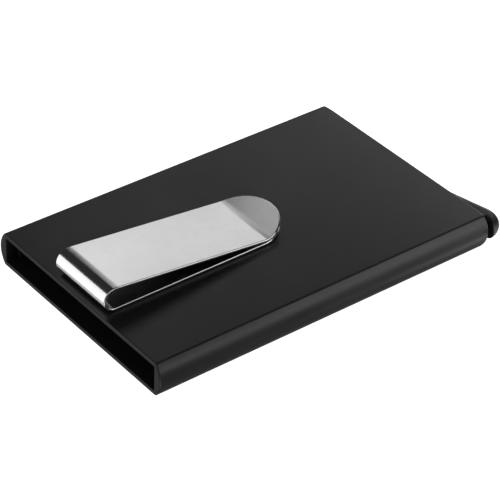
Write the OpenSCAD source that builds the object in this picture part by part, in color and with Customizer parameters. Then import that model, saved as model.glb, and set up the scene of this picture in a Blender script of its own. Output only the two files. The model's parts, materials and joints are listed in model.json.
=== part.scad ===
// Pop-up card case: an extruded aluminium sleeve that holds a short stack of cards, closed at one
// end by a small lever mechanism that fans the cards out of the open end, with a folded spring
// clip for banknotes on its upper face.
//
// X runs along the sleeve from the card mouth (-X) to the lever end (+X), Y across its width and
// Z out of the face that carries the clip. The origin is the middle of the flat underside.

/* [Sleeve] */
// Length of the sleeve from the card mouth to the lever end
case_l = 95.6; // [92:0.2:104]
// Width of the flat upper and lower faces
case_flat_w = 58.4; // [57:0.2:62]
// Thickness of the sleeve
case_t = 8.8; // [8.6:0.1:10]
// How far the convex sides stand out beyond the flat faces
side_bulge = 1.8; // [1:0.1:3]
// Thickness of the upper and lower walls
case_wall = 1.1; // [0.8:0.05:1.2]
// Width of the rectangular hollow
hollow_w = 57.4; // [57:0.1:57.8]

/* [Card lining] */
// Thickness of the felt strips on the two side walls
strip_t = 1.4; // [0.8:0.1:1.6]
// Height of the felt strips
strip_h = 5.8; // [4:0.1:6.2]
// Length of the felt strips
strip_l = 80; // [50:1:84]
// Thickness of the pressure pad under the upper wall
pad_t = 0.5; // [0.3:0.1:0.8]
// Length of the pressure pad
pad_l = 24; // [15:1:40]
// Width of the pressure pad
pad_w = 30; // [15:1:44]

/* [End cassette] */
// Length of the cassette along the sleeve
cassette_l = 8.6; // [8:0.1:10]
// How far the cassette sits back from the end of the sleeve
cassette_recess = 0.3; // [0.2:0.1:0.8]
// Thickness of the cassette floor
tray_floor = 0.8; // [0.7:0.1:1]
// Thickness of the cassette walls
tray_wall = 1.2; // [1:0.1:1.4]
// Thickness of the cover plate
cover_t = 0.6; // [0.6:0.1:0.8]
// Thickness of the adhesive tape above and below the cassette
tape_t = 0.1; // [0.05:0.01:0.15]
// Radius of a cover screw's shank
screw_r = 0.5; // [0.4:0.05:0.6]

/* [Lever] */
// Distance of the pivot from the end of the sleeve
pivot_inset = 5.5; // [5.3:0.1:6]
// Distance of the pivot from the middle of the sleeve
pivot_side = 23; // [22:0.1:23.5]
// Radius of the pivot pin
pin_r = 0.8; // [0.7:0.05:0.9]
// Radial running clearance between the pin and the lever
pin_clearance = 0.05; // [0.02:0.01:0.08]
// Radius of the lever's hub
hub_r = 3.3; // [3.1:0.1:3.4]
// Reach of the longest step of the lever's arm
arm_l = 47; // [42:0.5:47.5]
// How much shorter each following step is
arm_step = 7; // [4:0.5:8]
// Thickness of the arm
arm_t = 3.4; // [2.6:0.1:3.6]
// Number of steps on the arm, one for each card
arm_steps = 5; // [4:1:6]
// Radius of the thumb knob seen from above
knob_r = 5.4; // [4.5:0.1:6]
// How far the thumb knob stands out of the end of the sleeve
knob_reach = 5.8; // [5:0.1:7]
// How far the thumb knob stands out beside the sleeve
knob_overhang = 0.8; // [0:0.1:1]
// Radius of the thumb knob's rounded edges
knob_edge = 2.4; // [1:0.1:2.4]
// Lean of the knob's outer face, in degrees
knob_lean = 13.4; // [10:0.1:16]
// Gap between the thumb knob and the end of the sleeve
knob_gap = 1.05; // [0.6:0.05:1.5]
// Travel of the lever, in degrees
lever_travel = 28; // [20:1:30]

/* [Return spring] */
// Diameter of the spring wire
wire_d = 0.4; // [0.3:0.05:0.45]
// Mean radius of the coil
coil_r = 1.8; // [1.75:0.05:1.9]
// Number of turns
coil_turns = 3; // [2:1:3]
// Length of the leg that presses on the lever's arm
spring_leg = 10; // [6:0.5:12]

/* [Money clip] */
// Width of the clip
clip_w = 18.6; // [14:0.2:24]
// Thickness of the spring steel
clip_t = 0.65; // [0.5:0.05:0.8]
// Outer radius of the bend
bend_r = 3.08; // [2.6:0.02:3.6]
// Distance of the bend from the card mouth
clip_setback = 0.72; // [0.4:0.02:6]
// Overall length of the clip
clip_l = 54; // [46:0.5:60]
// Slope of the upper leg, in degrees
clip_slope = 6.3; // [5.6:0.1:6.4]
// Length of the upturned tip beyond the crease
flare_l = 7.9; // [5:0.1:9]
// Rise of the upturned tip, in degrees
flare_rise = 12.7; // [8:0.1:18]
// Thickness of the adhesive pad under the clip
clip_pad_t = 0.2; // [0.15:0.05:0.4]
// Angle of the bend left free between the fixed and the flexing half, in degrees
flex_gap = 9; // [8:0.5:12]

/* [Hidden] */

$fn = 96;
fit = 0.1;    // assembly clearance between fixed pieces
cut = 1;      // how far a cutting shape runs past what it cuts

// Sleeve
end_x = case_l / 2;
mouth_x = -case_l / 2;
side_y = case_flat_w / 2 + side_bulge;
side_arc_r = (pow(case_t / 2, 2) + pow(side_bulge, 2)) / (2 * side_bulge);
hollow_h = case_t - 2 * case_wall;
hollow_top = case_t - case_wall;

// Card lining
strip_x = mouth_x + 3;
pad_x = mouth_x + 8;

// Cassette
cassette_w = hollow_w - 2 * fit;
cassette_x = end_x - cassette_recess - cassette_l;
tray_z = case_wall + tape_t;
floor_top = tray_z + tray_floor;
cover_z = hollow_top - tape_t - cover_t;
end_wall_y = 5;
side_wall_t = 0.8;
screw_x = end_x - 3.2;
screw_ys = [9, 17, 25.2];
post_r = 1.2;
screw_head_r = 1;
screw_head_h = 0.45;
screw_l = 3;
stop_peg_r = 0.7;
stop_peg_h = 1.4;
stop_at_r = 6;
stop_angle = 60;
tape_margin = 1;
tape_near_y = -17;

// Lever
pivot = [end_x - pivot_inset, -pivot_side, 0];
lever_gap = 0.05;
lever_z = floor_top + lever_gap;
lever_h = cover_z - lever_gap - lever_z;
arm_lead = hub_r - 0.3;
web_x = arm_t - arm_lead - 0.5;
level_h = lever_h / arm_steps;
knob_at = [knob_reach - knob_r + pivot_inset, knob_r + pivot_side - side_y - knob_overhang, 0];
tail_r = knob_edge + 0.2;
tail_run = 27;
tail_at = knob_at + (knob_r - tail_r) * [cos(knob_lean), sin(knob_lean), 0]
    + tail_run * [-sin(knob_lean), cos(knob_lean), 0];
neck_y = pivot_side - hollow_w / 2 + side_wall_t + 0.5;
pin_head_r = 1.5;
pin_head_h = 0.4;
pin_clip_r = 1.6;
pin_clip_h = 0.3;
boss_r = 1.4;

// Return spring
spring_gap = 0.15;
leg_groove_w = wire_d + 0.3;
leg_room = 1;
coil_pitch = wire_d + 0.05;
coil_top = lever_z + lever_h - spring_gap - wire_d / 2;
coil_low = coil_top - coil_turns * coil_pitch;
recess_z = coil_low - wire_d / 2 - spring_gap;
recess_r = coil_r + wire_d / 2 + 0.3;
anchor_r = 0.5;
anchor_y = -3.9;
fixed_leg_y = anchor_y - anchor_r;
steps_per_turn = 20;
wire_sides = 8;

// Money clip
clip_z = case_t + clip_pad_t;
bend_at = [mouth_x + clip_setback + bend_r, clip_z + bend_r];
clip_tip_x = mouth_x + clip_setback + clip_l;
clip_tip_at = clip_tip_x - clip_w / 2;
crease_x = clip_tip_x - flare_l * cos(flare_rise);
leg_l = (crease_x - bend_at.x - bend_r * sin(clip_slope)) / cos(clip_slope);
pad_inset = 0.5;

// Outline of the sleeve's cross-section, with Y to the right and Z up
module sleeve_outline() {
    translate([-case_flat_w / 2, 0]) square([case_flat_w, case_t]);
    for (side = [-1, 1])
        intersection() {
            translate([side * (side_y - side_arc_r), case_t / 2]) circle(side_arc_r);
            translate([side * (side_y + case_flat_w / 2 - cut) / 2, case_t / 2])
                square([side_bulge + cut, case_t], center = true);
        }
}

// Extrudes a cross-section drawn in Y and Z along X, from x0 over length l
module along_x(x0, l) {
    translate([x0, 0, 0]) rotate([90, 0, 90]) linear_extrude(l) children();
}

// Extrudes a side view drawn in X and Z across the width of the clip
module across_clip() {
    rotate([90, 0, 0]) linear_extrude(clip_w, center = true) children();
}

// Extruded aluminium sleeve with convex sides and a rectangular hollow
module case_tube() {
    color("#26282a")
        along_x(mouth_x, case_l)
            difference() {
                sleeve_outline();
                translate([-hollow_w / 2, case_wall]) square([hollow_w, hollow_h]);
            }
}

// Felt strip on one side wall, which grips the cards' edges
module side_strip(side) {
    color("#1b1b1c")
        translate([
            strip_x,
            side * (hollow_w - strip_t) / 2 - strip_t / 2,
            (case_t - strip_h) / 2
        ])
            cube([strip_l, strip_t, strip_h]);
}

// Felt pad under the upper wall, which keeps a single card from falling out
module card_pad() {
    color("#1b1b1c")
        translate([pad_x, -pad_w / 2, hollow_top - pad_t])
            cube([pad_l, pad_w, pad_t]);
}

// Moulded tray of the end cassette: floor, end wall, side walls, screw posts, the peg that ends
// the lever's travel, and the post that the spring rests on
module end_tray() {
    wall_h = cover_z - tray_z;
    end_face = cassette_x + cassette_l;
    color("#303231")
        difference() {
            union() {
                translate([cassette_x, -cassette_w / 2, tray_z])
                    cube([cassette_l, cassette_w, tray_floor]);
                translate([end_face - tray_wall, end_wall_y, tray_z])
                    cube([tray_wall, cassette_w / 2 - end_wall_y, wall_h]);
                translate([cassette_x, cassette_w / 2 - tray_wall, tray_z])
                    cube([cassette_l, tray_wall, wall_h]);
                translate([cassette_x, -cassette_w / 2, tray_z])
                    cube([cassette_l, side_wall_t, wall_h]);
                translate(pivot + stop_at_r * [cos(stop_angle), sin(stop_angle), 0] + [0, 0, tray_z])
                    cylinder(h = tray_floor + stop_peg_h, r = stop_peg_r);
                for (y = screw_ys)
                    translate([screw_x, y, tray_z]) cylinder(h = wall_h, r = post_r);
                translate(pivot + [-coil_r - anchor_r - wire_d / 2, anchor_y, tray_z])
                    cylinder(h = wall_h, r = anchor_r);
            }
            translate(pivot + [0, 0, tray_z - cut]) cylinder(h = tray_floor + 2 * cut, r = pin_r);
            translate(pivot + [0, 0, tray_z - cut]) cylinder(h = pin_head_h + cut, r = pin_head_r);
            for (y = screw_ys)
                translate([screw_x, y, cover_z - screw_l]) cylinder(h = screw_l + cut, r = screw_r);
        }
}

// Thin cover plate that closes the cassette over the lever
module end_cover() {
    cover_top = cover_z + cover_t;
    color("#303231")
        difference() {
            translate([cassette_x, -cassette_w / 2, cover_z])
                cube([cassette_l, cassette_w, cover_t]);
            translate(pivot + [0, 0, cover_z - cut]) cylinder(h = cover_t + 2 * cut, r = pin_r);
            translate(pivot + [0, 0, cover_top - pin_clip_h])
                cylinder(h = pin_clip_h + cut, r = pin_clip_r);
            for (y = screw_ys) {
                translate([screw_x, y, cover_z - cut])
                    cylinder(h = cover_t + 2 * cut, r = screw_r);
                translate([screw_x, y, cover_top - screw_head_h])
                    cylinder(h = screw_head_h, r1 = screw_r, r2 = screw_head_r);
            }
        }
}

// Countersunk micro screws that hold the cover on the tray
module cover_screws() {
    cover_top = cover_z + cover_t;
    slot_w = 0.25;
    slot_h = 0.2;
    color("#9a9da0")
        for (y = screw_ys)
            translate([screw_x, y, 0])
                difference() {
                    union() {
                        translate([0, 0, cover_z - screw_l])
                            cylinder(h = screw_l + cover_t - screw_head_h, r = screw_r);
                        translate([0, 0, cover_top - screw_head_h])
                            cylinder(h = screw_head_h, r1 = screw_r, r2 = screw_head_r);
                    }
                    translate([-screw_head_r, -slot_w / 2, cover_top - slot_h])
                        cube([2 * screw_head_r, slot_w, slot_h + cut]);
                }
}

// Strip of adhesive tape that holds the cassette on the lower or the upper wall of the sleeve
module tray_tape(z) {
    far_y = cassette_w / 2 - tape_margin;
    color("#b9b6a8")
        translate([cassette_x + tape_margin, tape_near_y, z])
            cube([cassette_l - 2 * tape_margin, far_y - tape_near_y, tape_t]);
}

// Headed steel pin that the lever turns on
module pivot_pin() {
    color("#a8abad")
        translate(pivot) {
            translate([0, 0, tray_z]) cylinder(h = pin_head_h, r = pin_head_r);
            translate([0, 0, tray_z]) cylinder(h = cover_z + cover_t - tray_z, r = pin_r);
        }
}

// Push-on washer that keeps the pin in the cover
module pin_clip() {
    color("#a8abad")
        translate(pivot + [0, 0, cover_z + cover_t - pin_clip_h])
            difference() {
                cylinder(h = pin_clip_h, r = pin_clip_r);
                translate([0, 0, -cut]) cylinder(h = pin_clip_h + 2 * cut, r = pin_r);
            }
}

// Round disc of the lever's height with rounded rims
module soft_disc(r) {
    rotate_extrude($fn = 32)
        intersection() {
            square([r, lever_h]);
            hull()
                for (z = [knob_edge, lever_h - knob_edge])
                    translate([r - knob_edge, z]) {
                        circle(knob_edge, $fn = 32);
                        translate([-r, -knob_edge]) square([r, 2 * knob_edge]);
                    }
        }
}

// Wedge-shaped thumb knob, cut back where the sleeve's side wall stands
module thumb_knob() {
    behind_gap = pivot_inset + knob_gap;
    difference() {
        hull() {
            translate(knob_at) soft_disc(knob_r);
            translate(tail_at) soft_disc(tail_r);
        }
        translate([behind_gap - 2 * knob_r, neck_y - 2 * knob_r, -cut])
            cube([2 * knob_r, 2 * knob_r, lever_h + 2 * cut]);
    }
}

// One step of the lever's arm, with a rounded tip
module arm_level(reach) {
    translate([-arm_lead, 0, 0]) cube([arm_t, reach - arm_t / 2, level_h]);
    translate([arm_t / 2 - arm_lead, reach - arm_t / 2, 0]) cylinder(h = level_h, r = arm_t / 2);
}

// Curved slot that runs over the tray's peg and ends the lever's travel both ways
module stop_slot() {
    half_w = stop_peg_r + fit;
    end_angle = asin(half_w / stop_at_r);
    from = stop_angle - lever_travel - end_angle;
    to = stop_angle + end_angle;
    translate([0, 0, -cut])
        linear_extrude(stop_peg_h + fit + cut)
            intersection() {
                difference() {
                    circle(stop_at_r + half_w);
                    circle(stop_at_r - half_w);
                }
                polygon([[0, 0], for (a = [from, (from + to) / 2, to])
                    2 * stop_at_r * [cos(a), sin(a)]]);
            }
}

// Bell-crank lever: hub, stepped arm that fans the cards, and thumb knob
module eject_lever() {
    color("#2a2e2d")
        translate(pivot + [0, 0, lever_z])
            difference() {
                union() {
                    cylinder(h = lever_h, r = hub_r);
                    for (k = [0 : arm_steps - 1])
                        translate([0, 0, lever_h - (k + 1) * level_h])
                            arm_level(arm_l - k * arm_step);
                    translate([web_x, 0, 0]) cube([tail_at.x - web_x, tail_at.y, lever_h - knob_edge]);
                    thumb_knob();
                }
                translate([0, 0, -cut]) cylinder(h = lever_h + 2 * cut, r = pin_r + pin_clearance);
                translate([0, 0, recess_z - lever_z])
                    difference() {
                        cylinder(h = lever_h, r = recess_r);
                        cylinder(h = lever_h, r = boss_r);
                    }
                stop_slot();
                translate([-coil_r - leg_groove_w / 2, 0, recess_z - lever_z])
                    cube([leg_groove_w, spring_leg + leg_room, lever_h]);
                translate([-coil_r - leg_groove_w / 2 - leg_room, -2 * hub_r, recess_z - lever_z])
                    cube([leg_groove_w + leg_room, 2 * hub_r, lever_h]);
            }
}

// Points of the spring's centre line: moving leg, coil, then the leg that rests on the anchor
function spring_path() = concat(
    [[-coil_r, spring_leg, coil_low]],
    [for (i = [0 : coil_turns * steps_per_turn])
        let (a = 180 + 360 * i / steps_per_turn)
        [coil_r * cos(a), coil_r * sin(a), coil_low + coil_pitch * i / steps_per_turn]],
    [[-coil_r, fixed_leg_y, coil_top]]
);

// Direction of a path at point i
function path_dir(path, i) =
    let (d = path[min(i + 1, len(path) - 1)] - path[max(i - 1, 0)])
    d / norm(d);

// Ring of points around point i of a path that runs nearly level
function wire_ring(path, i) =
    let (
        t = path_dir(path, i),
        side = cross([0, 0, 1], t) / norm(cross([0, 0, 1], t)),
        up = cross(t, side)
    )
    [for (k = [0 : wire_sides - 1])
        let (a = 360 * k / wire_sides)
        path[i] + wire_d / 2 * (cos(a) * side + sin(a) * up)];

// Torsion spring that returns the lever
module return_spring() {
    path = spring_path();
    last = len(path) - 1;
    sides = [for (i = [0 : last - 1], k = [0 : wire_sides - 1])
        let (k1 = (k + 1) % wire_sides)
        [i * wire_sides + k, (i + 1) * wire_sides + k,
            (i + 1) * wire_sides + k1, i * wire_sides + k1]];
    color("#8d9093")
        translate([pivot.x, pivot.y, 0])
            polyhedron(
                points = [for (i = [0 : last]) each wire_ring(path, i)],
                faces = concat(
                    [[for (k = [0 : wire_sides - 1]) k]],
                    sides,
                    [[for (k = [wire_sides - 1 : -1 : 0]) last * wire_sides + k]]
                )
            );
}

// Outline of the clip seen from above, drawn in by inset all round
module clip_plan(inset = 0) {
    half_w = clip_w / 2 - inset;
    translate([clip_tip_at, 0]) circle(half_w);
    translate([mouth_x - cut, -half_w]) square([clip_tip_at - mouth_x + cut, 2 * half_w]);
}

// Part of the bend between two angles, in degrees from +X towards +Z
module bend_arc(from, to) {
    far = 2 * bend_r;
    mid = (from + to) / 2;
    translate(bend_at)
        intersection() {
            difference() {
                circle(bend_r);
                circle(bend_r - clip_t);
            }
            polygon([[0, 0], for (a = [from, mid, to]) far * [cos(a), sin(a)]]);
        }
}

// Double-sided adhesive pad that holds the clip on the sleeve
module clip_pad() {
    color("#6d6f70")
        translate([0, 0, case_t])
            linear_extrude(clip_pad_t)
                intersection() {
                    clip_plan(pad_inset);
                    translate([bend_at.x + pad_inset, -clip_w])
                        square([clip_l, 2 * clip_w]);
                }
}

// Fixed lower leg of the clip with the lower half of the bend
module clip_base() {
    color("#c9cbcc")
        intersection() {
            across_clip() {
                translate([bend_at.x, clip_z]) square([clip_l, clip_t]);
                bend_arc(180 + flex_gap / 2, 270);
            }
            linear_extrude(bend_at.y) clip_plan();
        }
}

// Flexing upper leg of the clip with the upper half of the bend and the upturned tip
module clip_arm() {
    crease = [leg_l, bend_r];
    turn = clip_slope + flare_rise;
    miter = clip_t * tan(turn / 2);
    tip = crease + 2 * flare_l * [cos(turn), sin(turn)];
    color("#c9cbcc")
        intersection() {
            across_clip() {
                translate(bend_at)
                    rotate(-clip_slope)
                        polygon([
                            [0, bend_r - clip_t],
                            crease + [miter, -clip_t],
                            tip + clip_t * [sin(turn), -cos(turn)],
                            tip,
                            crease,
                            [0, bend_r]
                        ]);
                bend_arc(90 - clip_slope, 180 - flex_gap / 2);
            }
            linear_extrude(3 * case_t) clip_plan();
        }
}

case_tube();
side_strip(-1);  // side_strip_near
side_strip(1);  // side_strip_far
card_pad();
end_tray();
end_cover();
cover_screws();
tray_tape(case_wall);  // tray_tape_lower
tray_tape(hollow_top - tape_t);  // tray_tape_upper
pivot_pin();
pin_clip();
eject_lever();
return_spring();
clip_pad();
clip_base();
clip_arm();
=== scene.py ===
"""Looks for the pop-up card case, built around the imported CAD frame. Lengths are in metres."""

import json
import math

import bmesh
import bpy
from mathutils import Matrix, Quaternion, Vector, noise


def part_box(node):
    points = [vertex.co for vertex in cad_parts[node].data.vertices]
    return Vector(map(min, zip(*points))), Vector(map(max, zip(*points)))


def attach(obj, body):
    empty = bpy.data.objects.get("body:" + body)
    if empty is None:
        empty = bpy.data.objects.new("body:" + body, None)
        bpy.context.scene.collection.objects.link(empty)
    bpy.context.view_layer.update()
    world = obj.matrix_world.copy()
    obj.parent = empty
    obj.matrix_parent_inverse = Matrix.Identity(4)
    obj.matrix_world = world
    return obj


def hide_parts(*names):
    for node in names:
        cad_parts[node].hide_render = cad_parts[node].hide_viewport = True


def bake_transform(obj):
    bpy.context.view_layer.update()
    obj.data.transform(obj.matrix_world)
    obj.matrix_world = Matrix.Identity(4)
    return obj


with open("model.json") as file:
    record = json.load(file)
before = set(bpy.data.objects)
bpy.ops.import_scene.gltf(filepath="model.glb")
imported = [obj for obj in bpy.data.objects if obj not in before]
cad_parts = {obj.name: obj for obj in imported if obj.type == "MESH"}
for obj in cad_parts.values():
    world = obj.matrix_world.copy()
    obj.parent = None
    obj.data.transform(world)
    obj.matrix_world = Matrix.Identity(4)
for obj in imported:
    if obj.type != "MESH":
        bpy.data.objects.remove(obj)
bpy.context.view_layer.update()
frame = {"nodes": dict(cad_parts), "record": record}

MM = 0.001

# ---------------------------------------------------------------- places taken from the frame
CASE_LO, CASE_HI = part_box("case_tube")
CLIP_LO, CLIP_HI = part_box("clip_base")
LEVER_LO, LEVER_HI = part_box("eject_lever")
JOINTS = {j["name"]: j for j in frame["record"]["behaviour"]["joints"]}
BEND_AT = Vector(JOINTS["clip_flex"]["pos_m"])
PIVOT = Vector(JOINTS["lever_pivot"]["pos_m"])
LEVER_TRAVEL = math.radians(JOINTS["lever_pivot"]["range_deg"][1])

# ---------------------------------------------------------------- design sizes
FLAT_W = 58.4 * MM          # width of the sleeve's flat faces
HOLLOW_W = 57.4 * MM        # width of its hollow
WALL = 1.1 * MM             # upper and lower wall
RIDGE_R = 0.7 * MM          # rounding between a flat face and a convex side
HOLLOW_R = 0.35 * MM        # rounding of the hollow's corners
RIM_R = 0.3 * MM            # deburred outer edges at both ends of the sleeve
BORE_RIM_R = 0.2 * MM       # and the inner ones
CORNER_RIM_R = 0.66 * MM    # the outer edge's rounding at the corners of the lever's end
CORNER_RUN = 1.6 * MM       # distance over which that fades
FINE_RUN = 4 * MM           # finely divided end of each flat face
# Steps along the sleeve's stretches: flat face and its fine end, ridge, side, and rim at the ends
FLAT_STEPS, FINE_STEPS, ROUND_STEPS, SIDE_STEPS, RIM_STEPS = 2, 10, 8, 24, 5

CLIP_T = 0.65 * MM          # thickness of the clip's spring steel
CLIP_EDGE = 0.25 * MM       # rounding of its edges
CLIP_SLOPE = math.radians(6.3)      # fall of the upper leg from the bend to the crease
CLIP_FLARE = math.radians(12.7)     # rise of the upturned tip
CREASE_R = 6.5 * MM         # inner radius of the soft crease before the tip
FLARE_L = 7.9 * MM          # length of the upturned tip
LEAF_OVERLAP = 1 * MM       # how far base and upper leg share the strip at their seam
# Steps along the clip's stretches: bend, lower leg, upper leg, each half of a tip, and edge
BEND_STEPS, LOWER_STEPS, LEAF_STEPS, TIP_STEPS, EDGE_STEPS = 64, 8, 12, 40, 4

# Lengths and radii on the mid surface of the clip's strip
CLIP_HALF_W = (CLIP_HI.y - CLIP_LO.y) / 2
MID_R = BEND_AT.z - CLIP_LO.z - CLIP_T / 2
LOWER_L = CLIP_HI.x - BEND_AT.x
BEND_L = MID_R * (math.pi - CLIP_SLOPE)
CREASE_AT_X = CLIP_HI.x - FLARE_L * math.cos(CLIP_FLARE)
BEND_SHIFT = (BEND_AT.z - CLIP_LO.z) * math.sin(CLIP_SLOPE)
UPPER_L = (CREASE_AT_X - BEND_AT.x - BEND_SHIFT) / math.cos(CLIP_SLOPE)
CREASE_TURN = CLIP_SLOPE + CLIP_FLARE
FOLD_R = CREASE_R + CLIP_T / 2
CUT_BACK = FOLD_R * math.tan(CREASE_TURN / 2)

# Lever and spring, in millimetres from the pivot's axis: both are built at that scale, then shrunk
KNOB_R = 5.4                # big end of the thumb knob, seen from above
KNOB_EDGE = 2.4             # rounding of its rims
KNOB_LEAN = math.radians(13.4)      # lean of its outer flank towards the sleeve
KNOB_GAP = 1.05             # gap between the knob and the end of the sleeve
KNOB_BACK_R = 1.6           # rounding of the knob's upper rim on the side of that gap
TAIL_R = KNOB_EDGE + 0.2    # small end of the knob's wedge
TAIL_RUN = 27               # length of its outer flank
HUB_R = 3.3                 # hub round the pivot
ARM_X = (-3.0, 0.4)         # both sides of the arm
ARM_REACH = [47, 40, 33, 26, 19]    # reach of its steps, from the top one down
ARM_ROOT = -0.3             # where the arm starts inside the hub
WEB_LEFT = -0.1             # side of the web between hub and knob
NECK_Y = -4.4               # edge of the neck that joins the knob to the web
LEVER_EDGE = 0.12           # rounding of the edges of web, hub and arm
BORE_R = 0.85               # bore for the pivot pin
COIL_R = 1.8                # spring's coil, at the middle of its wire
COIL_TURNS = 3
WIRE_R = 0.2
WIRE_ROOM = 0.15            # clearance above and below the spring
COIL_PITCH = 2 * WIRE_R + 0.05
SPRING_LEG = 10             # length of the leg that rests in the arm
FIXED_LEG = -4.4            # end of the leg that rests on the tray
RECESS_R = (1.4, 2.3)       # inner and outer radius of the spring's recess
GROOVE_W = 0.7              # groove for the spring's leg
GROOVE_SPARE = 1            # its extra length past the leg, and its extra width in the hub
GROOVE_LAP = 0.1            # how far its two cuts overlap
SLOT_AT_R = 6               # middle of the curved stop slot, from the pivot
SLOT_HALF_W = 0.8
SLOT_DEPTH = 1.5
PEG_ANGLE = math.radians(60)        # where the tray's peg stands about the pivot
NUDGE = 0.02                # keeps the walls of overlapping parts from falling on one plane
PAST = 1                    # how far a cutting tool reaches past what it cuts

# Steps along the curves of the knob, of the lever's other outlines and of the spring's wire
KNOB_RIM_STEPS, TAIL_STEPS, BACK_STEPS = 12, 28, 10
SLOT_STEPS, ARM_TIP_STEPS, BORE_STEPS = 24, 24, 48
COIL_STEPS, LEG_STEPS, FIXED_STEPS, WIRE_SIDES = 48, 10, 5, 14

BEVEL_ANGLE = math.radians(35)      # edges sharper than this are rounded
SHARP_ANGLE = math.radians(32)      # and the ones sharper than this are shaded as edges
WELD = 0.0005 * MM          # points closer than this are one
LUMPS = 0.9                 # how many lumps the felt has in a millimetre

# ---------------------------------------------------------------- mesh helpers
def make_object(name, bm, smooth=True):
    """Turns a bmesh into an object in the scene."""
    mesh = bpy.data.meshes.new(name)
    bmesh.ops.recalc_face_normals(bm, faces=bm.faces)
    bm.to_mesh(mesh)
    bm.free()
    for polygon in mesh.polygons:
        polygon.use_smooth = smooth
    obj = bpy.data.objects.new(name, mesh)
    bpy.context.collection.objects.link(obj)
    return obj


def set_normals(obj, normals):
    """Gives every vertex the exact normal of the surface it was made from."""
    obj.data.normals_split_custom_set_from_vertices([n.normalized() for n in normals])


def apply_modifiers(obj):
    """Replaces an object's mesh with the result of its modifiers."""
    graph = bpy.context.evaluated_depsgraph_get()
    mesh = bpy.data.meshes.new_from_object(obj.evaluated_get(graph))
    obj.modifiers.clear()
    obj.data = mesh


def arc(centre, radius, start, end, count):
    """Points and outward normals along an arc, angles in radians."""
    found = []
    for i in range(count + 1):
        a = start + (end - start) * i / count
        n = Vector((math.cos(a), math.sin(a)))
        found.append((Vector(centre) + radius * n, n))
    return found


def line(a, b, normal, count):
    """Points along a straight stretch, all with one normal."""
    a, b = Vector(a), Vector(b)
    return [(a.lerp(b, i / count), Vector(normal)) for i in range(count + 1)]


def spaced(start, end, count):
    """Evenly spaced values from start to end."""
    return [start + (end - start) * i / count for i in range(count + 1)]


def round_outline(centre, radius, start=0.0, sweep=2 * math.pi, count=64):
    """Points along an arc, or round a whole circle without its first point twice."""
    whole = abs(sweep - 2 * math.pi) < 0.001
    return [(centre[0] + radius * math.cos(start + sweep * i / count),
             centre[1] + radius * math.sin(start + sweep * i / count))
            for i in range(count if whole else count + 1)]


def box_outline(x0, y0, x1, y1):
    """Corners of a rectangle."""
    return [(x0, y0), (x1, y0), (x1, y1), (x0, y1)]


def round_edges(obj, width):
    """Rounds every sharp edge."""
    bevel = obj.modifiers.new("edges", "BEVEL")
    bevel.width = width
    bevel.segments = 3
    bevel.limit_method = "ANGLE"
    bevel.angle_limit = BEVEL_ANGLE
    apply_modifiers(obj)


def soften_normals(obj):
    """Smooth shading that keeps flat faces flat and stays crisp at sharp edges."""
    obj.data.set_sharp_from_angle(angle=SHARP_ANGLE)
    weighted = obj.modifiers.new("normals", "WEIGHTED_NORMAL")
    weighted.keep_sharp = True
    apply_modifiers(obj)


def prism(outline, low, high, edge=0.0):
    """Closed prism over a flat outline, with its edges rounded by edge."""
    bm = bmesh.new()
    floor = bm.faces.new([bm.verts.new((x, y, low)) for x, y in outline])
    raised = bmesh.ops.extrude_face_region(bm, geom=[floor])["geom"]
    corners = [part for part in raised if isinstance(part, bmesh.types.BMVert)]
    bmesh.ops.translate(bm, verts=corners, vec=(0, 0, high - low))
    obj = make_object("prism", bm, smooth=False)
    if edge:
        round_edges(obj, edge)
    return obj


def boolean(obj, other, operation):
    """Joins another working object to this one, or cuts it away, and removes it."""
    modifier = obj.modifiers.new("boolean", "BOOLEAN")
    modifier.object = other
    modifier.operation = operation
    modifier.solver = "EXACT"
    apply_modifiers(obj)
    bpy.data.objects.remove(other)


# ---------------------------------------------------------------- sleeve
def joined(*stretches):
    """Puts stretches of a profile end to end, with each shared point once."""
    points = list(stretches[0])
    for stretch in stretches[1:]:
        points += stretch[1:]
    return points


def mirrored_loop(half_side):
    """Closes a profile given for the +Y half, from the top middle to the bottom middle."""
    other = [(Vector((-p.x, p.y)), Vector((-n.x, n.y))) for p, n in reversed(half_side)]
    return half_side + other[1:-1]


def flat_face(reach, z, up):
    """A flat face from its middle to where its rounding starts, with finer steps near the end."""
    near = reach - FINE_RUN
    return joined(
        line((0, z), (near, z), (0, up), FLAT_STEPS),
        line((near, z), (reach, z), (0, up), FINE_STEPS),
    )


def outer_profile():
    """Outside of the sleeve in Y and Z."""
    top, half = CASE_HI.z, FLAT_W / 2
    mid = top / 2
    bulge = CASE_HI.y - half
    side_r = (mid ** 2 + bulge ** 2) / (2 * bulge)
    side_c = CASE_HI.y - side_r
    ridge_y = side_c + math.sqrt((side_r - RIDGE_R) ** 2 - (mid - RIDGE_R) ** 2)
    turn = math.atan2(mid - RIDGE_R, ridge_y - side_c)
    return mirrored_loop(joined(
        flat_face(ridge_y, top, 1),
        arc((ridge_y, top - RIDGE_R), RIDGE_R, math.pi / 2, turn, ROUND_STEPS),
        arc((side_c, mid), side_r, turn, -turn, SIDE_STEPS),
        arc((ridge_y, RIDGE_R), RIDGE_R, -turn, -math.pi / 2, ROUND_STEPS),
        list(reversed(flat_face(ridge_y, 0, -1))),
    ))


def inner_profile():
    """The sleeve's hollow in Y and Z, with as many points as its outside."""
    wall_y, low, high = HOLLOW_W / 2, WALL, CASE_HI.z - WALL
    round_y = wall_y - HOLLOW_R
    return mirrored_loop(joined(
        flat_face(round_y, high, 1),
        arc((round_y, high - HOLLOW_R), HOLLOW_R, math.pi / 2, 0, ROUND_STEPS),
        line((wall_y, high - HOLLOW_R), (wall_y, low + HOLLOW_R), (1, 0), SIDE_STEPS),
        arc((round_y, low + HOLLOW_R), HOLLOW_R, 0, -math.pi / 2, ROUND_STEPS),
        list(reversed(flat_face(round_y, low, -1))),
    ))


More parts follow.
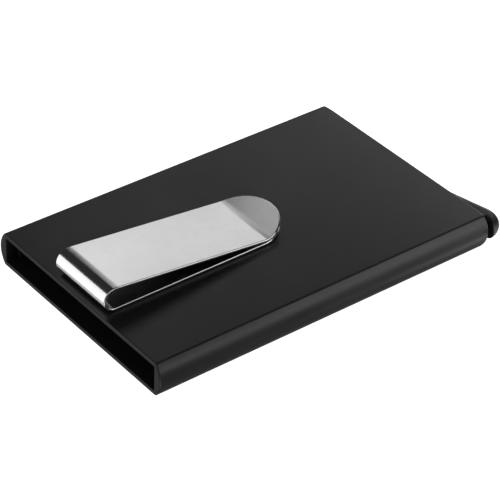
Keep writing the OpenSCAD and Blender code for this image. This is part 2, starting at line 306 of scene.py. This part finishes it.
def rim_radius(place, corner_r):
    """Rounding of the sleeve's end at a place in its profile, growing towards the four ridges."""
    away = math.hypot(abs(place.x) - FLAT_W / 2, min(place.y, CASE_HI.z - place.y))
    return RIM_R + (corner_r - RIM_R) * math.exp(-(away / CORNER_RUN) ** 2)


def build_sleeve():
    """The extruded sleeve: one closed skin, outside, rim, inside and rim again."""
    outer, inner = outer_profile(), inner_profile()
    turns = spaced(0, math.pi / 2, RIM_STEPS)
    rings = []
    for end, x_end, corner_r in ((1, CASE_HI.x, CORNER_RIM_R), (-1, CASE_LO.x, RIM_R)):
        outer_rims = [rim_radius(p, corner_r) for p, n in outer]
        inner_rims = [BORE_RIM_R] * len(inner)
        ends = [(outer, outer_rims, 1, x_end, end, a) for a in turns]
        ends += [(inner, inner_rims, -1, x_end, end, a) for a in reversed(turns)]
        rings += ends if end == 1 else list(reversed(ends))
    bm = bmesh.new()
    normals, loops = [], []
    for loop, rims, side, x_end, end, a in rings:
        row = []
        for (p, n), rim in zip(loop, rims):
            q = p - side * rim * (1 - math.cos(a)) * n
            row.append(bm.verts.new((x_end - end * rim * (1 - math.sin(a)), q.x, q.y)))
            across = side * math.cos(a) * n
            normals.append(Vector((end * math.sin(a), across.x, across.y)))
        loops.append(row)
    count = len(inner)
    for i, row in enumerate(loops):
        following = loops[(i + 1) % len(loops)]
        for k in range(count):
            k1 = (k + 1) % count
            bm.faces.new((row[k], following[k], following[k1], row[k1]))
    obj = make_object("sleeve", bm)
    set_normals(obj, normals)
    return obj


# ---------------------------------------------------------------- money clip
def clip_path(length_at):
    """Point, tangent and inward normal of the clip's mid surface at a distance along it.

    Distance 0 is the lower tip. The strip runs to the bend, round it and back up to the upper tip.
    """
    if length_at <= LOWER_L:
        place = Vector((CLIP_HI.x - length_at, 0, CLIP_LO.z + CLIP_T / 2))
        return place, Vector((-1, 0, 0)), Vector((0, 0, 1))
    if length_at <= LOWER_L + BEND_L:
        a = (length_at - LOWER_L) / MID_R
        out = Vector((-math.sin(a), 0, -math.cos(a)))
        return BEND_AT + MID_R * out, Vector((-math.cos(a), 0, math.sin(a))), -out
    top = Vector((math.sin(CLIP_SLOPE), 0, math.cos(CLIP_SLOPE)))
    down = Vector((math.cos(CLIP_SLOPE), 0, -math.sin(CLIP_SLOPE)))
    start = BEND_AT + MID_R * top
    run = length_at - LOWER_L - BEND_L
    straight = UPPER_L - CUT_BACK
    if run <= straight:
        return start + run * down, down, -top
    fold_at = start + straight * down + FOLD_R * top
    a = min((run - straight) / FOLD_R, CREASE_TURN)
    up = math.cos(a) * top - math.sin(a) * down
    along = Vector((up.z, 0, -up.x))
    rest = max(run - straight - FOLD_R * CREASE_TURN, 0)
    return fold_at - FOLD_R * up + rest * along, along, -up


def strip_outline(straight_stations, tip_at, tip_sign):
    """Points and outward normals round a stretch of the strip, as distances along and across it."""
    side = [((s, CLIP_HALF_W), (0, 1)) for s in straight_stations]
    for a in spaced(0, math.pi / 2, TIP_STEPS)[1:-1]:
        place = (tip_at + tip_sign * CLIP_HALF_W * math.sin(a), CLIP_HALF_W * math.cos(a))
        side.append((place, (tip_sign * math.sin(a), math.cos(a))))
    tip = ((tip_at + tip_sign * CLIP_HALF_W, 0), (tip_sign, 0))
    return side + [tip] + [((s, -v), (ns, -nv)) for (s, v), (ns, nv) in reversed(side)]


def strip_rims():
    """Inset, height, and the normal's shares outward and inward, from the inner face to the outer."""
    turns = spaced(0, math.pi / 2, EDGE_STEPS)
    rims = []
    for sign, angles in ((1, reversed(turns)), (-1, turns)):
        for a in angles:
            height = CLIP_T / 2 - CLIP_EDGE * (1 - math.sin(a))
            inset = CLIP_EDGE * (1 - math.cos(a))
            rims.append((inset, sign * height, math.cos(a), sign * math.sin(a)))
    return rims


def build_strip(name, straight_stations, tip_at, tip_sign):
    """A stretch of the clip: straight stations, then a round tip, with rounded edges all round.

    straight_stations run from the cut end to the start of the round tip. tip_sign says whether
    the distance grows or falls towards the tip.
    """
    outline = strip_outline(straight_stations, tip_at, tip_sign)
    bm = bmesh.new()
    normals, loops = [], []
    for inset, height, flat, up in strip_rims():
        row = []
        for (s, v), (ns, nv) in outline:
            point, tangent, inward = clip_path(s - inset * ns)
            place = point + height * inward
            place.y = v - inset * nv
            row.append(bm.verts.new(place))
            normals.append(flat * (ns * tangent + nv * Vector((0, 1, 0))) + up * inward)
        loops.append(row)
    count = len(outline)
    for row, following in zip(loops, loops[1:]):
        for k in range(count - 1):
            bm.faces.new((row[k], row[k + 1], following[k + 1], following[k]))
    for row in (loops[0], loops[-1]):
        for k in range(count // 2 - 1):
            bm.faces.new((row[k], row[k + 1], row[count - 2 - k], row[count - 1 - k]))
        k = count // 2
        bm.faces.new((row[k - 1], row[k], row[k + 1]))
    bm.faces.new([row[0] for row in loops] + [row[-1] for row in reversed(loops)])
    obj = make_object(name, bm)
    set_normals(obj, normals)
    return obj


def build_clip():
    """The folded strip in two pieces: base with bend, and the upper leg with its tip."""
    bend_end = LOWER_L + BEND_L
    seam = bend_end + LEAF_OVERLAP
    bend_stations = spaced(bend_end, LOWER_L, BEND_STEPS)
    lower_stations = spaced(LOWER_L - LEAF_OVERLAP, CLIP_HALF_W, LOWER_STEPS)
    base = build_strip("money_clip_base", [seam] + bend_stations + lower_stations, CLIP_HALF_W, -1)
    fold_end = bend_end + UPPER_L - CUT_BACK + FOLD_R * CREASE_TURN
    tip_at = fold_end + FLARE_L - CUT_BACK - CLIP_HALF_W
    leaf = build_strip("money_clip_leaf", spaced(seam, tip_at, LEAF_STEPS), tip_at, 1)
    return base, leaf


# ---------------------------------------------------------------- lever
def build_knob(big, small, height):
    """Wedge-shaped thumb knob with fully rounded rims, between two circles seen from above."""
    axis = small - big
    heading = math.atan2(axis.y, axis.x)
    lean = math.acos((TAIL_R - KNOB_R) / axis.length)
    wide, narrow = 2 * (math.pi - lean), 2 * lean
    rims = [(KNOB_EDGE * (1 - math.sin(a)), KNOB_EDGE * (1 - math.cos(a)))
            for a in spaced(0, math.pi / 2, KNOB_RIM_STEPS)]
    levels = rims + [(inset, height - z) for inset, z in reversed(rims)]
    bm = bmesh.new()
    rings = []
    for inset, z in levels:
        tail = round_outline(small, TAIL_R - inset, heading - wide / 2, wide, TAIL_STEPS)
        front = round_outline(big, KNOB_R - inset, heading + wide / 2, narrow, 2 * TAIL_STEPS)
        rings.append([bm.verts.new((x, y, z)) for x, y in tail + front])
    around = len(rings[0])
    for low, high in zip(rings, rings[1:]):
        for k in range(around):
            k1 = (k + 1) % around
            bm.faces.new((low[k], low[k1], high[k1], high[k]))
    bm.faces.new(list(reversed(rings[0])))
    bm.faces.new(rings[-1])
    return make_object("lever_moulding", bm)


def build_neck_cut(height):
    """Block that clears the sleeve's wall and leaves a rounded upper rim on the back of the knob."""
    behind = (CASE_HI.x - PIVOT.x) / MM + KNOB_GAP
    far = 2 * KNOB_R
    centre = (behind + KNOB_BACK_R, height - KNOB_BACK_R)
    rim = round_outline(centre, KNOB_BACK_R, math.pi, -math.pi / 2, BACK_STEPS)
    profile = [(behind - far, -PAST), (behind, -PAST)] + rim
    profile += [(centre[0], height + PAST), (behind - far, height + PAST)]
    block = prism(profile, 0, far)
    block.data.transform(Matrix.Translation((0, NECK_Y, 0)) @ Matrix.Rotation(math.pi / 2, 4, "X"))
    return block


def stop_slot_outline():
    """Curved slot that runs over the tray's peg."""
    end = math.asin(SLOT_HALF_W / SLOT_AT_R)
    start, sweep = PEG_ANGLE - LEVER_TRAVEL - end, LEVER_TRAVEL + 2 * end
    outer = round_outline((0, 0), SLOT_AT_R + SLOT_HALF_W, start, sweep, SLOT_STEPS)
    inner = round_outline((0, 0), SLOT_AT_R - SLOT_HALF_W, start, sweep, SLOT_STEPS)
    return outer + list(reversed(inner))


def build_lever():
    """The lever's one moulding: knob, web, hub and stepped arm, less its bore, slot and recess."""
    height = (LEVER_HI.z - LEVER_LO.z) / MM
    level = height / len(ARM_REACH)
    big = Vector(((LEVER_HI.x - PIVOT.x) / MM - KNOB_R, (LEVER_LO.y - PIVOT.y) / MM + KNOB_R))
    small = (
        big
        + (KNOB_R - TAIL_R) * Vector((math.cos(KNOB_LEAN), math.sin(KNOB_LEAN)))
        + TAIL_RUN * Vector((-math.sin(KNOB_LEAN), math.cos(KNOB_LEAN)))
    )
    lever = build_knob(big, small, height)
    boolean(lever, build_neck_cut(height), "DIFFERENCE")
    web = box_outline(WEB_LEFT, 0, small.x, small.y)
    boolean(lever, prism(web, NUDGE, height - KNOB_EDGE, LEVER_EDGE), "UNION")
    hub = round_outline((0, 0), HUB_R)
    boolean(lever, prism(hub, 2 * NUDGE, height - NUDGE, LEVER_EDGE), "UNION")
    middle = (ARM_X[0] + ARM_X[1]) / 2
    for k, reach in enumerate(ARM_REACH):
        inset = k * NUDGE
        half = (ARM_X[1] - ARM_X[0]) / 2 - inset
        tip = round_outline((middle, reach - half), half, 0, math.pi, ARM_TIP_STEPS)
        outline = [(middle - half, inset + ARM_ROOT), (middle + half, inset + ARM_ROOT)] + tip
        step = prism(outline, height - (k + 1) * level, height - inset, LEVER_EDGE)
        boolean(lever, step, "UNION")
    recess = height - (COIL_TURNS * COIL_PITCH + 2 * (WIRE_R + WIRE_ROOM))
    ring = prism(round_outline((0, 0), RECESS_R[1]), recess, height + PAST)
    boolean(ring, prism(round_outline((0, 0), RECESS_R[0]), 0, height + 2 * PAST), "DIFFERENCE")
    left = -COIL_R - GROOVE_W / 2
    right = left + GROOVE_W
    leg_groove = box_outline(left, 0, right, SPRING_LEG + GROOVE_SPARE)
    hub_groove = box_outline(left - GROOVE_SPARE, -2 * HUB_R, right, GROOVE_LAP)
    cuts = [
        ring,
        prism(round_outline((0, 0), BORE_R, count=BORE_STEPS), -PAST, height + PAST),
        prism(stop_slot_outline(), -PAST, SLOT_DEPTH),
        prism(leg_groove, recess, height + PAST),
        prism(hub_groove, recess, height + PAST),
    ]
    for tool in cuts:
        boolean(lever, tool, "DIFFERENCE")
    place = Matrix.Translation((PIVOT.x, PIVOT.y, LEVER_LO.z)) @ Matrix.Scale(MM, 4)
    lever.data.transform(place)
    soften_normals(lever)
    return lever


# ---------------------------------------------------------------- return spring
def build_tube(name, path, radius):
    """Closed tube swept along a path that runs nearly level."""
    bm = bmesh.new()
    rings = []
    for i, point in enumerate(path):
        along = (path[min(i + 1, len(path) - 1)] - path[max(i - 1, 0)]).normalized()
        side = Vector((0, 0, 1)).cross(along).normalized()
        up = along.cross(side)
        rings.append([
            bm.verts.new(point + radius * (math.cos(a) * side + math.sin(a) * up))
            for a in spaced(0, 2 * math.pi, WIRE_SIDES)[:-1]
        ])
    for low, high in zip(rings, rings[1:]):
        for k in range(WIRE_SIDES):
            k1 = (k + 1) % WIRE_SIDES
            bm.faces.new((low[k], low[k1], high[k1], high[k]))
    bm.faces.new(list(reversed(rings[0])))
    bm.faces.new(rings[-1])
    return make_object(name, bm)


def build_spring():
    """Torsion spring with a leg in the lever's arm, a coil and a leg on the tray.

    The heights of its lowest and highest turn come with it.
    """
    top = LEVER_HI.z / MM - WIRE_ROOM - WIRE_R
    low = top - COIL_TURNS * COIL_PITCH
    path = [Vector((-COIL_R, y, low)) for y in spaced(SPRING_LEG, 0, LEG_STEPS)[:-1]]
    for i in range(COIL_TURNS * COIL_STEPS + 1):
        turns = i / COIL_STEPS
        a = math.pi + 2 * math.pi * turns
        path.append(Vector((COIL_R * math.cos(a), COIL_R * math.sin(a), low + COIL_PITCH * turns)))
    path += [Vector((-COIL_R, y, top)) for y in spaced(0, FIXED_LEG, FIXED_STEPS)[1:]]
    spring = build_tube("torsion_spring", path, WIRE_R)
    spring.data.transform(Matrix.Translation((PIVOT.x, PIVOT.y, 0)) @ Matrix.Scale(MM, 4))
    return spring, (low + WIRE_R) * MM, (top - WIRE_R) * MM


# ---------------------------------------------------------------- pieces that follow their CAD shape
def softened(name, node, width):
    """A copy of a node's shape in a new piece, with sharp edges rounded by a width in millimetres."""
    obj = bpy.data.objects.new(name, frame["nodes"][node].data.copy())
    bpy.context.collection.objects.link(obj)
    bm = bmesh.new()
    bm.from_mesh(obj.data)
    bmesh.ops.remove_doubles(bm, verts=bm.verts, dist=WELD)
    bmesh.ops.scale(bm, vec=(1 / MM, 1 / MM, 1 / MM), verts=bm.verts)
    bmesh.ops.dissolve_limit(bm, angle_limit=math.radians(1), verts=bm.verts, edges=bm.edges)
    bm.to_mesh(obj.data)
    bm.free()
    round_edges(obj, width)
    obj.data.transform(Matrix.Scale(MM, 4))
    soften_normals(obj)
    return obj


def build_felt(name, node, edge, step, lump):
    """Soft-edged felt cut from a node's box: rounded rims and a slightly uneven face.

    The rounding, the spacing of the mesh and the depth of the lumps are in millimetres.
    """
    lo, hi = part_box(node)
    size, centre = (hi - lo) / MM, (lo + hi) / 2
    bm = bmesh.new()
    counts = [max(2, round(side / step)) for side in size]
    lattice = {}

    def corner(i, j, k):
        key = (i, j, k)
        if key not in lattice:
            place = Vector([(c / n - 0.5) * side for c, n, side in zip(key, counts, size)])
            lattice[key] = bm.verts.new(place)
        return lattice[key]

    for axis in range(3):
        u, v = (axis + 1) % 3, (axis + 2) % 3
        for fixed in (0, counts[axis]):
            for p in range(counts[u]):
                for q in range(counts[v]):
                    face = []
                    for du, dv in ((0, 0), (1, 0), (1, 1), (0, 1)):
                        key = [0, 0, 0]
                        key[axis], key[u], key[v] = fixed, p + du, q + dv
                        face.append(corner(*key))
                    bm.faces.new(face)
    reach = [side / 2 - edge for side in size]
    for vert in bm.verts:
        core = Vector([max(-r, min(r, c)) for c, r in zip(vert.co, reach)])
        out = vert.co - core
        if out.length > 0:
            vert.co = core + out.normalized() * min(out.length, edge)
        sink = lump * (0.5 + 0.5 * noise.noise(vert.co * LUMPS + centre * (1 / MM)))
        vert.co -= out.normalized() * sink if out.length > 0 else Vector()
    bmesh.ops.scale(bm, vec=(MM, MM, MM), verts=bm.verts)
    bmesh.ops.translate(bm, vec=centre, verts=bm.verts)
    return make_object(name, bm)


# ---------------------------------------------------------------- materials
NOISE_SPAN = (0.3, 0.7)     # nearly all values of a noise texture lie between these
RAMP_SPAN = (0.35, 0.65)    # and most of them between these


def new_material(name, base_color, roughness, metallic=0.0, **sockets):
    """A Principled material with its uniform values set on the shader itself."""
    material = bpy.data.materials.new(name)
    material.use_nodes = True
    shader = material.node_tree.nodes["Principled BSDF"]
    shader.inputs["Base Color"].default_value = (*base_color, 1)
    shader.inputs["Roughness"].default_value = roughness
    shader.inputs["Metallic"].default_value = metallic
    for socket, value in sockets.items():
        shader.inputs[socket.replace("_", " ")].default_value = value
    return material


def add_noise(material, scale, detail=3.0, stretch=(1, 1, 1)):
    """Noise in the object's own metres. Scale is in features per metre."""
    nodes, links = material.node_tree.nodes, material.node_tree.links
    coords = nodes.new("ShaderNodeTexCoord")
    mapping = nodes.new("ShaderNodeMapping")
    mapping.inputs["Scale"].default_value = stretch
    texture = nodes.new("ShaderNodeTexNoise")
    texture.inputs["Scale"].default_value = scale
    texture.inputs["Detail"].default_value = detail
    links.new(coords.outputs["Object"], mapping.inputs["Vector"])
    links.new(mapping.outputs["Vector"], texture.inputs["Vector"])
    return texture.outputs["Fac"]


def vary(material, value, socket, low, high):
    """Drives one of the shader's sockets from a 0 to 1 value, between two limits."""
    nodes, links = material.node_tree.nodes, material.node_tree.links
    remap = nodes.new("ShaderNodeMapRange")
    remap.inputs["From Min"].default_value, remap.inputs["From Max"].default_value = NOISE_SPAN
    remap.inputs["To Min"].default_value = low
    remap.inputs["To Max"].default_value = high
    links.new(value, remap.inputs["Value"])
    links.new(remap.outputs["Result"], nodes["Principled BSDF"].inputs[socket])


def vary_color(material, value, dark, light):
    """Blends the base colour between two colours."""
    nodes, links = material.node_tree.nodes, material.node_tree.links
    ramp = nodes.new("ShaderNodeValToRGB")
    for stop, position, color in zip(ramp.color_ramp.elements, RAMP_SPAN, (dark, light)):
        stop.position = position
        stop.color = (*color, 1)
    links.new(value, ramp.inputs["Fac"])
    links.new(ramp.outputs["Color"], nodes["Principled BSDF"].inputs["Base Color"])


def add_bump(material, value, distance):
    """Fine surface relief, chained after any relief already there."""
    nodes, links = material.node_tree.nodes, material.node_tree.links
    bump = nodes.new("ShaderNodeBump")
    bump.inputs["Strength"].default_value = 1
    bump.inputs["Distance"].default_value = distance
    links.new(value, bump.inputs["Height"])
    target = nodes["Principled BSDF"].inputs["Normal"]
    if target.links:
        links.new(target.links[0].from_socket, bump.inputs["Normal"])
    links.new(bump.outputs["Normal"], target)


def facing_x(material):
    """How squarely the surface faces along X, from 0 to 1."""
    nodes, links = material.node_tree.nodes, material.node_tree.links
    coords = nodes.new("ShaderNodeTexCoord")
    axes = nodes.new("ShaderNodeSeparateXYZ")
    magnitude = nodes.new("ShaderNodeMath")
    magnitude.operation = "ABSOLUTE"
    links.new(coords.outputs["Normal"], axes.inputs["Vector"])
    links.new(axes.outputs["X"], magnitude.inputs[0])
    return magnitude.outputs["Value"]


def raise_roughness(material, value, start, end, extra):
    """Adds to the roughness as a value goes from start to end."""
    nodes, links = material.node_tree.nodes, material.node_tree.links
    rise = nodes.new("ShaderNodeMapRange")
    rise.inputs["From Min"].default_value = start
    rise.inputs["From Max"].default_value = end
    rise.inputs["To Max"].default_value = extra
    total = nodes.new("ShaderNodeMath")
    roughness = nodes["Principled BSDF"].inputs["Roughness"]
    links.new(value, rise.inputs["Value"])
    links.new(roughness.links[0].from_socket, total.inputs[0])
    links.new(rise.outputs["Result"], total.inputs[1])
    links.new(total.outputs["Value"], roughness)


def anodised_black():
    """Bead-blasted, black anodised aluminium with duller sawn ends."""
    material = new_material("anodised_black", (0.01, 0.01, 0.0105), 0.36, Specular_IOR_Level=0.5)
    grain = add_noise(material, scale=9000, detail=2)
    cloud = add_noise(material, scale=60, detail=4)
    vary(material, cloud, "Roughness", low=0.33, high=0.39)
    raise_roughness(material, facing_x(material), start=0.75, end=0.98, extra=0.35)
    vary_color(material, grain, (0.008, 0.008, 0.0085), (0.012, 0.012, 0.0125))
    add_bump(material, grain, 0.004 * MM)
    return material


def polished_clip_steel():
    """Polished spring steel with the faintest grain along the clip."""
    material = new_material("clip_steel", (0.62, 0.62, 0.62), 0.17, metallic=1.0)
    brush = add_noise(material, scale=12000, detail=4, stretch=(0.02, 1, 0.3))
    cloud = add_noise(material, scale=90)
    vary(material, brush, "Roughness", low=0.15, high=0.2)
    vary_color(material, cloud, (0.61, 0.61, 0.61), (0.63, 0.63, 0.63))
    add_bump(material, brush, 0.0003 * MM)
    return material


def moulded_plastic(name, color, rough, gloss):
    """Black moulded plastic with a fine spark-eroded grain."""
    material = new_material(name, color, rough, Specular_IOR_Level=gloss)
    grain = add_noise(material, scale=7000, detail=2)
    cloud = add_noise(material, scale=120)
    vary(material, cloud, "Roughness", low=rough - 0.04, high=rough + 0.05)
    vary_color(material, cloud, [0.85 * c for c in color], [1.15 * c for c in color])
    add_bump(material, grain, 0.006 * MM)
    return material


def felt():
    """Pressed black wool felt."""
    material = new_material(
        "felt_black", (0.012, 0.012, 0.013), 0.95,
        Sheen_Weight=0.05, Sheen_Roughness=0.5, Specular_IOR_Level=0.15,
    )
    fibre = add_noise(material, scale=3500, detail=6, stretch=(0.3, 1, 1))
    tangle = add_noise(material, scale=1200, detail=5)
    vary_color(material, fibre, (0.007, 0.007, 0.008), (0.022, 0.022, 0.023))
    vary(material, tangle, "Roughness", low=0.88, high=1.0)
    add_bump(material, tangle, 0.06 * MM)
    add_bump(material, fibre, 0.03 * MM)
    return material


def turned_steel(name, color, rough):
    """Plain steel with fine turning marks."""
    material = new_material(name, color, rough, metallic=1.0)
    marks = add_noise(material, scale=8000, stretch=(1, 1, 0.1))
    cloud = add_noise(material, scale=400)
    vary(material, marks, "Roughness", low=rough - 0.06, high=rough + 0.08)
    vary_color(material, cloud, [0.88 * c for c in color], [1.05 * c for c in color])
    add_bump(material, marks, 0.0015 * MM)
    return material


def foam_tape(name, color):
    """Thin adhesive foam with fine open cells on its cut edge."""
    material = new_material(name, color, 0.85, Specular_IOR_Level=0.3)
    cells = add_noise(material, scale=5000)
    vary(material, cells, "Roughness", low=0.75, high=0.95)
    vary_color(material, cells, [0.7 * c for c in color], [1.2 * c for c in color])
    add_bump(material, cells, 0.02 * MM)
    return material


# ---------------------------------------------------------------- pieces on the frame
def finish_piece(obj, material, nodes, body=None):
    """Gives a new piece its material, hides the nodes it replaces and, when a body is given, attaches
    it to that body.
    """
    obj.data.materials.clear()
    obj.data.materials.append(material)
    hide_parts(*nodes)
    if body:
        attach(obj, body)


finish_piece(build_sleeve(), anodised_black(), ["case_tube"], "case")

steel = polished_clip_steel()
clip_base, clip_leaf = build_clip()
finish_piece(clip_base, steel, ["clip_base"])
finish_piece(clip_leaf, steel, ["clip_arm"], "clip_leaf")
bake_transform(clip_base)

lever_plastic = moulded_plastic("lever_plastic", (0.012, 0.014, 0.013), 0.5, 0.35)
cassette_plastic = moulded_plastic("cassette_plastic", (0.018, 0.019, 0.019), 0.5, 0.5)
pin_steel = turned_steel("pin_steel", (0.56, 0.56, 0.56), 0.3)
screw_steel = turned_steel("screw_steel", (0.42, 0.42, 0.43), 0.35)
spring_steel = turned_steel("spring_steel", (0.5, 0.5, 0.51), 0.28)
tape_foam = foam_tape("tape_foam", (0.4, 0.39, 0.34))
pad_foam = foam_tape("pad_foam", (0.03, 0.03, 0.031))
felt_black = felt()

finish_piece(build_lever(), lever_plastic, ["eject_lever"], "lever")

spring, spring_low, spring_top = build_spring()
finish_piece(spring, spring_steel, ["return_spring"])
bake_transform(spring)

for piece, node, edge, material, slot_name in (
    ("cassette_tray", "end_tray", 0.1, cassette_plastic, "cassette_plastic"),
    ("cassette_cover", "end_cover", 0.06, cassette_plastic, "cassette_plastic"),
    ("micro_screws", "cover_screws", 0.04, screw_steel, "screw_steel"),
    ("headed_pin", "pivot_pin", 0.06, pin_steel, "pin_steel"),
    ("pin_washer", "pin_clip", 0.04, pin_steel, "pin_steel"),
    ("tape_lower", "tray_tape_lower", 0.02, tape_foam, "adhesive_foam"),
    ("tape_upper", "tray_tape_upper", 0.02, tape_foam, "adhesive_foam"),
    ("clip_foam", "clip_pad", 0.03, pad_foam, "adhesive_foam"),
):
    finish_piece(softened(piece, node, edge), material, [node], "case")

for piece, node, edge, step, lump in (
    ("felt_strip_near", "side_strip_near", 0.35, 0.35, 0.1),
    ("felt_strip_far", "side_strip_far", 0.35, 0.35, 0.1),
    ("felt_pad", "card_pad", 0.2, 0.5, 0.06),
):
    strip = build_felt(piece, node, edge, step, lump)
    finish_piece(strip, felt_black, [node], "case")

# ---------------------------------------------------------------- studio
def look(azimuth, elevation):
    """Unit vector from the object towards a viewer at these angles, in degrees."""
    a, e = math.radians(azimuth), math.radians(elevation)
    return Vector((math.sin(a) * math.cos(e), -math.cos(a) * math.cos(e), math.sin(e)))


def add_camera():
    """Long-lens camera above the near corner of the card mouth."""
    azimuth, elevation, roll = -39.761, 35.896, math.radians(2.651)
    distance, slide_right, slide_up = 538.4 * MM, 0.908 * MM, 1.148 * MM
    back = look(azimuth, elevation)
    level = Vector((math.cos(math.radians(azimuth)), math.sin(math.radians(azimuth)), 0))
    upright = back.cross(level)
    right = math.cos(roll) * level + math.sin(roll) * upright
    up = back.cross(right)
    data = bpy.data.cameras.new("camera")
    data.sensor_width = 36
    data.lens = 166.11
    data.clip_start, data.clip_end = 0.01, 20
    camera = bpy.data.objects.new("camera", data)
    bpy.context.collection.objects.link(camera)
    place = slide_right * right + slide_up * up + distance * back
    turn = Matrix((right, up, back)).transposed()
    camera.matrix_world = Matrix.Translation(place) @ turn.to_4x4()
    bpy.context.scene.camera = camera


def add_softbox(name, azimuth, elevation, distance, size, radiance, roll=0):
    """Rectangular area light that faces the object, with its brightness as a radiance.

    Angles are in degrees, the distance and the size in metres.
    """
    data = bpy.data.lights.new(name, "AREA")
    data.shape = "RECTANGLE"
    data.size, data.size_y = size
    data.energy = radiance * math.pi * size[0] * size[1]
    light = bpy.data.objects.new(name, data)
    bpy.context.collection.objects.link(light)
    away = look(azimuth, elevation)
    light.location = distance * away
    light.rotation_mode = "QUATERNION"
    spin = Quaternion((0, 0, 1), math.radians(roll))
    light.rotation_quaternion = away.to_track_quat("Z", "Y") @ spin


def add_floor():
    """Plain white floor that sweeps up far out.

    Only the camera sees it, so it neither lights the object nor shows in it.
    """
    flat, sweep, rise, sides, sweep_steps = 2.4, 0.6, 4.0, 96, 12
    turns = spaced(0, math.pi / 2, sweep_steps)
    profile = [(flat + sweep * math.sin(a), sweep * (1 - math.cos(a))) for a in turns]
    profile.append((flat + sweep, rise))
    bm = bmesh.new()
    rings = []
    for radius, z in profile:
        circle = round_outline((0, 0), radius, count=sides)
        rings.append([bm.verts.new((x, y, z)) for x, y in circle])
    bm.faces.new(rings[0])
    for low, high in zip(rings, rings[1:]):
        for k in range(sides):
            k1 = (k + 1) % sides
            bm.faces.new((low[k], low[k1], high[k1], high[k]))
    floor = make_object("floor", bm)
    material = new_material("floor_white", (0.9, 0.9, 0.9), 0.9, Specular_IOR_Level=0.1)
    shader = material.node_tree.nodes["Principled BSDF"]
    shader.inputs["Emission Color"].default_value = (1, 1, 1, 1)
    shader.inputs["Emission Strength"].default_value = 1.05
    floor.data.materials.append(material)
    floor.visible_diffuse = False
    floor.visible_glossy = False
    floor.visible_shadow = False


def add_world():
    """Surroundings that are dim up to the horizon and darker overhead."""
    world = bpy.data.worlds.new("studio")
    world.use_nodes = True
    nodes, links = world.node_tree.nodes, world.node_tree.links
    coords = nodes.new("ShaderNodeTexCoord")
    axes = nodes.new("ShaderNodeSeparateXYZ")
    fall_off = nodes.new("ShaderNodeMapRange")
    fall_off.inputs["From Min"].default_value = -0.1
    fall_off.inputs["From Max"].default_value = 0.15
    fall_off.inputs["To Min"].default_value = 0.15
    fall_off.inputs["To Max"].default_value = 0.03
    links.new(coords.outputs["Generated"], axes.inputs["Vector"])
    links.new(axes.outputs["Z"], fall_off.inputs["Value"])
    links.new(fall_off.outputs["Result"], nodes["Background"].inputs["Strength"])
    nodes["Background"].inputs["Color"].default_value = (1, 1, 1, 1)
    bpy.context.scene.world = world


add_camera()
add_floor()
add_world()
bpy.context.scene.view_settings.view_transform = "Standard"

# Behind, where the upper face and the clip mirror them
add_softbox("back_right", 139.4, 29.8, 0.45, (0.135, 0.07), 1.17, roll=18)
add_softbox("back_high", 150.3, 43.5, 0.47, (0.04, 0.2), 0.77, roll=-40)
add_softbox("back_mid", 160, 32, 0.45, (0.16, 0.12), 0.4)

# Close to the lever end
add_softbox("end_near", 108, 22, 0.2, (0.08, 0.06), 1.2)
add_softbox("end_low", 120, 8, 0.2, (0.09, 0.06), 2.6)

# On the left, where the clip's bend and the rim of the card mouth mirror them
add_softbox("left", -131, -3, 0.45, (0.27, 0.5), 1.55)
add_softbox("left_low", -132, -50, 0.45, (0.3, 0.22), 0.65)

# In front and on the right, for the long side
add_softbox("front_low", -30, -35, 0.45, (0.24, 0.26), 1.9)
add_softbox("front", 18, 10, 0.45, (0.2, 0.16), 1.4)
add_softbox("front_right", 45, 20, 0.45, (0.2, 0.31), 2.1)
add_softbox("right", 60, -8, 0.45, (0.2, 0.13), 3.2)
add_softbox("right_low", 70, -30, 0.45, (0.2, 0.16), 2.9)

# Broad fills from above
add_softbox("fill_front", -45, 45, 0.6, (0.5, 0.35), 0.7)
add_softbox("fill_left", -97, 33, 0.6, (0.42, 0.32), 0.6)
add_softbox("fill_right", -2, 32, 0.6, (0.4, 0.3), 0.6)
